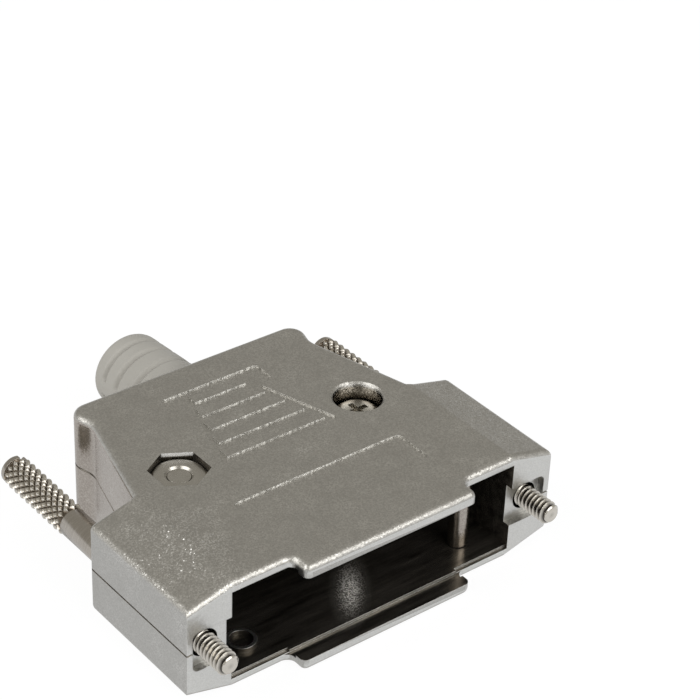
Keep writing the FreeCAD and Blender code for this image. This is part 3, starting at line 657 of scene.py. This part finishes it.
def boot_profile():
    """The boot's section as (radius, y) points in millimetres, with a rounded end."""
    (wide, start), (narrow, end) = BOOT_OUTER
    points = list(BOOT_INNER)
    for step in range(BOOT_STEPS_ALONG + 1):
        share = step / BOOT_STEPS_ALONG
        y = start + (end - BOOT_ROUND - start) * share
        points.append((wide + (narrow - wide) * (y - start) / (end - start), y))
    corner = points[-1][0] - BOOT_ROUND
    for step in range(1, BOOT_STEPS_ROUND + 1):
        angle = math.radians(90.0 * step / BOOT_STEPS_ROUND)
        points.append((corner + BOOT_ROUND * math.cos(angle),
                       end - BOOT_ROUND + BOOT_ROUND * math.sin(angle)))
    return points + [(BOOT_MOUTH, end), BOOT_INNER[0]]


def groove_depth(y, height):
    """How deep the boot's skin sinks at y and at a height above its middle, in millimetres."""
    away = min((y - centre for centre in BOOT_GROOVES), key=abs)
    near = away / GROOVE_GENTLE if away > 0 else -away / GROOVE_STEEP
    clear = (height - BAND_HALF_HEIGHT) / BAND_BLEND
    if near >= 1.0 or clear <= 0.0:
        return 0.0
    return GROOVE_DEPTH * (0.5 + 0.5 * math.cos(math.pi * near)) * min(1.0, clear)


class HOOD_OT_finish_boot(bpy.types.Operator):
    """Form the cable boot with its soft grooves, in moulded plastic"""
    bl_idname = "hood.finish_boot"
    bl_label = "Finish the boot"

    def execute(self, context):
        bm = bmesh.new()
        profile = [(radius * MM, y * MM) for radius, y in boot_profile()]
        lathe(bm, 0.0, profile, steps=BOOT_STEPS_AROUND)
        for vert in bm.verts:
            out = Vector((vert.co.x, vert.co.z))
            y = vert.co.y / MM
            if out.length < BOOT_SKIN * MM or y < BOOT_OUTER[0][1]:
                continue
            depth = groove_depth(y, abs(vert.co.z) / MM) * MM
            if depth > 0.0:
                out *= 1.0 - depth / out.length
                vert.co.x, vert.co.z = out
        boot = finished_object("cable_boot_formed", bm, [boot_plastic()])
        sharpen(boot, degrees=60.0)
        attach(boot, "hood")
        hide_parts("cable_boot")
        return {"FINISHED"}


# The thumbscrews, along Y from the thread's tip to the slotted end
THREAD_TIP = -4.0 * MM
TIP_LENGTH = 0.25 * MM
THREAD_END = 1.3 * MM
KNURL_START = 27.8 * MM
KNURL_END = 40.25 * MM
HEAD_END = 41.0 * MM

# The thread's form, and how near its turns lie to be joined and its cut points to be capped
THREAD_FLANK = math.radians(30.0)
THREAD_STEPS = 32
THREAD_CHAMFER = 0.45 * MM
TURN_GAP = 0.001 * MM
CAP_GAP = 0.002 * MM

# The shank's section as (radius, y) points, in millimetres
SHANK_PROFILE = ((0.0, 0.9), (1.15, 0.9), (1.3, 1.2), (1.3, 4.45), (1.1, 4.45), (1.1, 5.05), (1.3, 5.05),
                 (1.3, 10.0), (1.65, 10.0), (1.8, 10.15), (1.8, 27.6), (1.65, 27.85), (0.0, 27.85))

# The knurl's sleeve, and how far each layer of a bead steps in and rises, in millimetres
SLEEVE_RADIUS = 1.6 * MM
BEAD_LAYERS = ((0.05, 0.12), (0.06, 0.11), (0.07, 0.09), (0.08, 0.06), (0.06, 0.02))

# The slotted end
END_RADIUS = 1.85 * MM
END_ROUND = 0.25 * MM
END_OVERLAP = 0.05 * MM
SLOT_WIDTH = 1.0 * MM

# Each thumbscrew's side, its place, and the turn of its slot in degrees, as photographed
THUMBSCREWS = (("right", JACKSCREW_X, 11.0), ("left", -JACKSCREW_X, 58.0))

# The thumbscrews' finishes, numbered as their slots are
THREAD, SHANK, KNURL, TIP = range(4)
BRIGHT_TONES = ("#D9D3C8", "#F2EEE6")


def thread(bm, x, low_y, high_y, sizes):
    """A right-hand thread between two heights, with a chamfered tip at the low end."""
    pitch = sizes.pitch
    root, crest = sizes.root_radius, sizes.crest_radius
    flank = (crest - root) * math.tan(THREAD_FLANK)
    flat = (pitch - 2.0 * flank) / 2.0
    profile = [(root, 0.0), (root, flat), (crest, flat + flank), (crest, 2.0 * flat + flank),
               (root, pitch)]
    turns = math.ceil((high_y - low_y) / pitch) + 2
    start = low_y - pitch
    verts = [bm.verts.new((x + radius, start + y, 0.0)) for radius, y in profile]
    edges = [bm.edges.new(pair) for pair in zip(verts, verts[1:])]
    bmesh.ops.spin(bm, geom=verts + edges, cent=(x, 0, 0), axis=(0, 1, 0),
                   dvec=(0, pitch / THREAD_STEPS, 0), angle=math.tau * turns,
                   steps=THREAD_STEPS * turns, use_merge=False, use_duplicate=False)
    bmesh.ops.remove_doubles(bm, verts=bm.verts, dist=TURN_GAP)
    for y, direction in ((low_y, -1.0), (high_y, 1.0)):
        bmesh.ops.bisect_plane(bm, geom=bm.verts[:] + bm.edges[:] + bm.faces[:], dist=CUT_GAP,
                               plane_co=(x, y, 0), plane_no=(0, direction, 0), clear_outer=True)
        rim = [edge for edge in bm.edges if edge.is_boundary
               and all(abs(vert.co.y - y) < CAP_GAP for vert in edge.verts)]
        bmesh.ops.contextual_create(bm, geom=rim)
    tip_radius = crest - THREAD_CHAMFER
    for vert in bm.verts:
        out = Vector((vert.co.x - x, vert.co.z))
        allowed = tip_radius + (vert.co.y - low_y)
        if out.length > allowed:
            out *= allowed / out.length
            vert.co.x, vert.co.z = x + out.x, out.y


def beaded_grip(bm, x, low_y, high_y, sizes):
    """A knurl of staggered rounded beads, raised one by one from a plain sleeve."""
    columns, rows = sizes.bead_columns, sizes.bead_rows
    half_row = (high_y - low_y) / rows
    half_column = math.tau / columns
    ring = bmesh.ops.create_circle(bm, cap_ends=False, radius=SLEEVE_RADIUS, segments=columns)["verts"]
    bmesh.ops.rotate(bm, verts=ring, cent=(0, 0, 0), matrix=Matrix.Rotation(math.pi / 2, 3, "X"))
    bmesh.ops.translate(bm, verts=ring, vec=(x, low_y, 0))
    edges = ring_edges(ring)
    sleeve = list(ring)
    for _ in range(rows):
        grown = bmesh.ops.extrude_edge_only(bm, edges=edges)["geom"]
        verts = [item for item in grown if isinstance(item, bmesh.types.BMVert)]
        bmesh.ops.translate(bm, verts=verts, vec=(0, half_row, 0))
        edges = ring_edges(verts)
        sleeve += verts
    bmesh.ops.holes_fill(bm, edges=[edge for edge in bm.edges if edge.is_boundary], sides=0)
    bmesh.ops.recalc_face_normals(bm, faces=bm.faces)

    def is_crest(vert):
        row = round((vert.co.y - low_y) / half_row)
        column = round(math.atan2(vert.co.z, vert.co.x - x) / half_column)
        return (row + column) % 2 == 0

    def is_on_sleeve(face):
        middle = face.calc_center_median()
        return abs(middle.x - x) + abs(middle.z) > 0.5 * SLEEVE_RADIUS

    inner = [vert for vert in sleeve if low_y + half_row / 2 < vert.co.y < high_y - half_row / 2]
    crests = [vert for vert in inner if is_crest(vert)]
    bmesh.ops.connect_verts(bm, verts=[vert for vert in sleeve if not is_crest(vert)])
    bmesh.ops.dissolve_verts(bm, verts=crests)
    beads = [face for face in bm.faces if len(face.verts) == 4 and is_on_sleeve(face)]
    for inset, rise in BEAD_LAYERS:
        bmesh.ops.inset_individual(bm, faces=beads, thickness=inset * MM, depth=rise * MM,
                                   use_even_offset=True)


def move_into(whole, part):
    """Adds a part's mesh to the whole, and frees the part."""
    mesh = bpy.data.meshes.new("part")
    part.to_mesh(mesh)
    part.free()
    whole.from_mesh(mesh)
    bpy.data.meshes.remove(mesh)


def slotted_end(bm, x, low_y, high_y, turn):
    """The smooth end of the head, as the two halves that its screwdriver slot leaves."""
    for half_turn in (0.0, math.pi):
        part = bmesh.new()
        bmesh.ops.create_cone(part, cap_ends=True, segments=64, radius1=END_RADIUS, radius2=END_RADIUS,
                              depth=high_y - low_y)
        rim = [edge for edge in part.edges if all(vert.co.z > 0 for vert in edge.verts)]
        bmesh.ops.bevel(part, geom=rim, offset=END_ROUND, offset_type="OFFSET", segments=3, profile=0.5,
                        affect="EDGES", material=-1)
        bmesh.ops.bisect_plane(part, geom=part.verts[:] + part.edges[:] + part.faces[:], dist=CUT_GAP,
                               plane_co=(0, SLOT_WIDTH / 2, 0), plane_no=(0, -1, 0), clear_outer=True)
        bmesh.ops.holes_fill(part, edges=[edge for edge in part.edges if edge.is_boundary], sides=0)
        # The cone stands along Z; tip it so that its rounded end looks along +Y, then turn the slot
        stand = Matrix.Rotation(-math.pi / 2, 4, "X")
        spin = Matrix.Rotation(half_turn - turn, 4, "Y")
        place = Matrix.Translation((x, (low_y + high_y) / 2, 0))
        bmesh.ops.transform(part, matrix=place @ spin @ stand, verts=part.verts)
        move_into(bm, part)


class HOOD_OT_cut_thumbscrews(bpy.types.Operator):
    """Build both thumbscrews with their threads, beaded grips and slotted ends"""
    bl_idname = "hood.cut_thumbscrews"
    bl_label = "Cut the thumbscrews"

    def execute(self, context):
        sizes = context.scene.hood_thumbscrew
        # The first tone of each finish is the painted shade in its valleys
        finishes = [screw_nickel("bright_nickel_on_thread", ("#2A2622", *BRIGHT_TONES),
                                 valley=sizes.root_radius, crest=0.96 * sizes.crest_radius),
                    screw_nickel("turned_nickel_on_shank", ("#A8A198", "#A8A198", "#D3CDC4"),
                                 valley=1.0 * MM, crest=1.7 * MM),
                    screw_nickel("bright_nickel_on_knurl", ("#776D61", *BRIGHT_TONES),
                                 valley=1.62 * MM, crest=1.9 * MM),
                    screw_nickel("bright_nickel_on_tip", ("#C9C5BD", *BRIGHT_TONES),
                                 valley=0.0, crest=0.5 * MM)]
        for side, x, turn in THUMBSCREWS:
            threaded, body, grip, end = (bmesh.new() for _ in range(4))
            thread(threaded, x, THREAD_TIP, THREAD_END, sizes)
            lathe(body, x, [(radius * MM, y * MM) for radius, y in SHANK_PROFILE])
            beaded_grip(grip, x, KNURL_START, KNURL_END, sizes)
            slotted_end(end, x, KNURL_END - END_OVERLAP, HEAD_END, math.radians(turn))
            whole = bmesh.new()
            for part, finish in ((threaded, THREAD), (body, SHANK), (grip, KNURL), (end, SHANK)):
                bmesh.ops.recalc_face_normals(part, faces=part.faces)
                for face in part.faces:
                    on_tip = face.calc_center_median().y < THREAD_TIP + TIP_LENGTH
                    face.material_index = TIP if on_tip else finish
                move_into(whole, part)
            screw = finished_object("thumbscrew_" + side + "_cut", whole, finishes)
            sharpen(screw, degrees=50.0)
            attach(screw, "screw_" + side)
            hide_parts("thumbscrew_" + side)
        return {"FINISHED"}


# The nut; its sides are cut into stretches, so that its hexagon has as many as its circles
NUT_ACROSS = 6.35 * MM
NUT_THICKNESS = 2.4 * MM
NUT_HOLE = 1.46 * MM
NUT_MOUTH = 1.75 * MM
NUT_MOUTH_DEPTH = 0.3 * MM
NUT_CROWN = NUT_ACROSS / 2 - 0.15 * MM
NUT_CROWN_DROP = 0.05 * MM
NUT_CHAMFER = math.radians(30.0)
NUT_SIDE_STRETCHES = 8


def hex_nut(bm):
    """A hexagon nut with a chamfered crown; its outer face looks up at z = 0."""
    hexagon = bmesh.ops.create_circle(bm, cap_ends=False, radius=NUT_ACROSS / math.sqrt(3.0),
                                      segments=6)["verts"]
    bmesh.ops.subdivide_edges(bm, edges=ring_edges(hexagon), cuts=NUT_SIDE_STRETCHES - 1)
    rim = list(bm.verts)
    for vert in rim:
        beyond_crown = max(0.0, vert.co.xy.length - NUT_CROWN)
        vert.co.z = -NUT_CROWN_DROP - beyond_crown * math.tan(NUT_CHAMFER)
    loops = [ring_edges(rim)]
    for radius, z in ((NUT_CROWN, 0.0), (NUT_MOUTH, 0.0), (NUT_HOLE, -NUT_MOUTH_DEPTH),
                      (NUT_HOLE, -NUT_THICKNESS)):
        circle = bmesh.ops.create_circle(bm, cap_ends=False, radius=radius,
                                         segments=6 * NUT_SIDE_STRETCHES)["verts"]
        bmesh.ops.translate(bm, verts=circle, vec=(0, 0, z))
        loops.append(ring_edges(circle))
    base = bmesh.ops.extrude_edge_only(bm, edges=loops[0])["geom"]
    base = [item for item in base if isinstance(item, bmesh.types.BMVert)]
    for vert in base:
        vert.co.z = -NUT_THICKNESS
    loops.append(ring_edges(base))
    for first, second in zip(loops, loops[1:]):
        bmesh.ops.bridge_loops(bm, edges=first + second)


class HOOD_OT_fit_fasteners(bpy.types.Operator):
    """Fit the nuts, and plate the screws that hold the shells together"""
    bl_idname = "hood.fit_fasteners"
    bl_label = "Fit the fasteners"

    def execute(self, context):
        material = zinc_plate()
        over = Matrix.Rotation(math.pi, 4, "Y")
        for side, x, turn in (("left", -CLAMP_X, Matrix.Identity(4)), ("right", CLAMP_X, over)):
            face_z = NUT_FACE_Z if side == "left" else -NUT_FACE_Z
            bm = bmesh.new()
            hex_nut(bm)
            place = Matrix.Translation((x, CLAMP_Y, face_z))
            bmesh.ops.transform(bm, matrix=place @ turn, verts=bm.verts)
            nut = finished_object("shell_nut_" + side + "_formed", bm, [material])
            sharpen(nut, degrees=25.0)
            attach(nut, "hood")
            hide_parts("shell_nut_" + side)
        for name in ("shell_screw_left", "shell_screw_right",
                     "clamp_bar_screw_left", "clamp_bar_screw_right"):
            NODES[name].material_slots[0].material = material
        return {"FINISHED"}


class HOOD_OT_finish_inner_metal(bpy.types.Operator):
    """Give the retaining rings and the cable clamp their plain steel"""
    bl_idname = "hood.finish_inner_metal"
    bl_label = "Finish the inner metal"

    def execute(self, context):
        material = spring_steel()
        for name in ("retaining_ring_left", "retaining_ring_right", "cable_clamp_bar"):
            NODES[name].material_slots[0].material = material
        return {"FINISHED"}


# The card under the hood: its brightness to the camera and in metal, the share of that which
# hides its shadow, and its size in metres
CARD_SEEN = 1.04
CARD_IN_METAL = 0.67
CARD_GLOW = 0.9
FLOOR_HALF_WIDTH = 1.5


def floor_paper():
    """White card: matt, and white again to the camera and in reflections, with the shadow kept."""
    made, tree, place = new_material("white_card_floor")
    fibre = add_node(tree, "TexNoise", {"Scale": 1.0 / (20.0 * MM), "Detail": 2.0}, {"Vector": place})
    tone = add_node(tree, "Mix", {"A": linear("#F4F4F3"), "B": linear("#F7F7F6")},
                    {"Factor": fibre.outputs["Fac"]}, data_type="RGBA")
    card = add_node(tree, "BsdfDiffuse", links={"Color": tone.outputs["Result"]})
    path = add_node(tree, "LightPath").outputs
    level = add_node(tree, "MapRange", {"To Min": CARD_SEEN, "To Max": CARD_IN_METAL},
                     {"Value": path["Is Glossy Ray"]})
    glow = add_node(tree, "Emission", {"Color": (1, 1, 1, 1)}, {"Strength": level.outputs[0]})
    seen = add_node(tree, "Math", links={0: path["Is Camera Ray"], 1: path["Is Glossy Ray"]},
                    operation="MAXIMUM")
    seen = add_node(tree, "Math", links={0: seen.outputs[0], 1: path["Is Transmission Ray"]},
                    operation="MAXIMUM")
    share = add_node(tree, "Math", {1: CARD_GLOW}, {0: seen.outputs[0]}, operation="MULTIPLY")
    mixed = add_node(tree, "MixShader",
                     links={"Fac": share.outputs[0], 1: card.outputs[0], 2: glow.outputs[0]})
    return with_surface(made, mixed)


# The light tent, from the horizon up: its brightness in metal, and where its light turns warm
TENT_STOPS = ((0.0, 0.8), (0.03, 0.6), (0.09, 0.36), (0.5, 0.34), (1.0, 0.4))
WARM_STOPS = ((0.03, 0.0), (0.15, 1.0))
WHITE_LIGHT = (1.0, 1.0, 1.0, 1.0)
WARM_LIGHT = (1.0, 0.96, 0.87, 1.0)
FILL_STRENGTH = 0.5


def studio_world(scene):
    """White to the camera; to metal, white at the horizon and grey overhead, as in a light tent."""
    world = bpy.data.worlds.new("light_tent")
    scene.world = world
    world.use_nodes = True
    tree = world.node_tree
    tree.nodes.clear()
    direction = add_node(tree, "TexCoord").outputs["Generated"]
    height = add_node(tree, "SeparateXYZ", links={"Vector": direction}).outputs["Z"]
    tent = add_node(tree, "ValToRGB", links={"Fac": height}, stops=TENT_STOPS)
    overhead = add_node(tree, "ValToRGB", links={"Fac": height}, stops=WARM_STOPS)
    warmth = add_node(tree, "Mix", {"A": WHITE_LIGHT, "B": WARM_LIGHT},
                      {"Factor": overhead.outputs[0]}, data_type="RGBA")
    tinted = add_node(tree, "VectorMath",
                      links={0: tent.outputs[0], 1: warmth.outputs["Result"]}, operation="MULTIPLY")
    reflected = add_node(tree, "Background", links={"Color": tinted.outputs[0]})
    plain = add_node(tree, "Background", {"Color": WHITE_LIGHT, "Strength": FILL_STRENGTH})
    white = add_node(tree, "Background", {"Color": WHITE_LIGHT, "Strength": 1.0})
    path = add_node(tree, "LightPath").outputs
    lit = add_node(tree, "MixShader",
                   links={"Fac": path["Is Glossy Ray"], 1: plain.outputs[0], 2: reflected.outputs[0]})
    seen = add_node(tree, "Math",
                    links={0: path["Is Camera Ray"], 1: path["Is Transmission Ray"]}, operation="MAXIMUM")
    mixed = add_node(tree, "MixShader",
                     links={"Fac": seen.outputs[0], 1: lit.outputs[0], 2: white.outputs[0]})
    add_node(tree, "OutputWorld", links={"Surface": mixed.outputs[0]})


# The softboxes, in metres and watts
SOFTBOXES = (("front_softbox", (0.12, -0.42, 0.30), (0, 0.01, 0), (0.46, 0.34), 1.2),
             ("left_softbox", (-0.45, 0.05, 0.35), (0, 0.02, 0), (0.50, 0.50), 1.5))


def soft_lamp(name, place, target, size, power):
    """Sets up a softbox of this width and height, aimed at a target."""
    lamp = bpy.data.lights.new(name, "AREA")
    lamp.shape = "RECTANGLE"
    lamp.size, lamp.size_y = size
    lamp.energy = power
    made = bpy.data.objects.new(name, lamp)
    made.location = place
    made.rotation_euler = (Vector(target) - Vector(place)).to_track_quat("-Z", "Y").to_euler()
    bpy.context.scene.collection.objects.link(made)


# The camera's sensor in millimetres, and its near limit in metres
SENSOR_WIDTH = 36.0
CLIP_START = 0.01


def camera_matrix(stage):
    """Where the camera stands and how it is turned."""
    level = math.cos(stage.camera_drop)
    forward = Vector((math.sin(stage.camera_heading) * level, math.cos(stage.camera_heading) * level,
                      -math.sin(stage.camera_drop)))
    return (Matrix.Translation(stage.camera_place) @ forward.to_track_quat("-Z", "Y").to_matrix().to_4x4()
            @ Matrix.Rotation(stage.camera_roll, 4, "Z"))


class HOOD_OT_set_stage(bpy.types.Operator):
    """Set the floor, the light tent, the lamps and the camera"""
    bl_idname = "hood.set_stage"
    bl_label = "Set the stage"

    def execute(self, context):
        scene = context.scene
        stage = scene.hood_stage
        bm = bmesh.new()
        bmesh.ops.create_grid(bm, x_segments=1, y_segments=1, size=FLOOR_HALF_WIDTH)
        bmesh.ops.translate(bm, verts=bm.verts, vec=(0, 0, CAD_LOW.z))
        floor = finished_object("floor", bm, [floor_paper()], smooth=False)
        studio_world(scene)
        for softbox in SOFTBOXES:
            soft_lamp(*softbox)

        lens = bpy.data.cameras.new("camera")
        lens.lens = stage.lens
        lens.sensor_width = SENSOR_WIDTH
        lens.clip_start = CLIP_START
        camera = bpy.data.objects.new("camera", lens)
        camera.matrix_world = camera_matrix(stage)
        scene.collection.objects.link(camera)
        scene.camera = camera
        scene.view_settings.view_transform = "Standard"
        return {"FINISHED"}


class HOOD_PT_pieces(bpy.types.Panel):
    """Lists the steps that dress the hood, in order"""
    bl_idname = "HOOD_PT_pieces"
    bl_label = "Hood"
    bl_space_type = "VIEW_3D"
    bl_region_type = "UI"
    bl_category = "Hood"

    def draw(self, context):
        for step in STEPS:
            self.layout.operator(step.bl_idname)
        for group in (context.scene.hood_finish, context.scene.hood_thumbscrew, context.scene.hood_stage):
            for name in group.__annotations__:
                self.layout.prop(group, name)


STEPS = (HOOD_OT_plate_shells, HOOD_OT_finish_boot, HOOD_OT_cut_thumbscrews, HOOD_OT_fit_fasteners,
         HOOD_OT_finish_inner_metal, HOOD_OT_set_stage)
CLASSES = (HoodFinish, ThumbscrewSizes, HoodStage) + STEPS + (HOOD_PT_pieces,)


def register():
    for made in CLASSES:
        bpy.utils.register_class(made)
    bpy.types.Scene.hood_finish = PointerProperty(type=HoodFinish)
    bpy.types.Scene.hood_thumbscrew = PointerProperty(type=ThumbscrewSizes)
    bpy.types.Scene.hood_stage = PointerProperty(type=HoodStage)


def unregister():
    del bpy.types.Scene.hood_finish
    del bpy.types.Scene.hood_thumbscrew
    del bpy.types.Scene.hood_stage
    for made in reversed(CLASSES):
        bpy.utils.unregister_class(made)


def main():
    """Registers the add-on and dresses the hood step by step."""
    register()
    bpy.ops.hood.plate_shells()
    bpy.ops.hood.finish_boot()
    bpy.ops.hood.cut_thumbscrews()
    bpy.ops.hood.fit_fasteners()
    bpy.ops.hood.finish_inner_metal()
    bpy.ops.hood.set_stage()


if __name__ == "__main__":
    main()
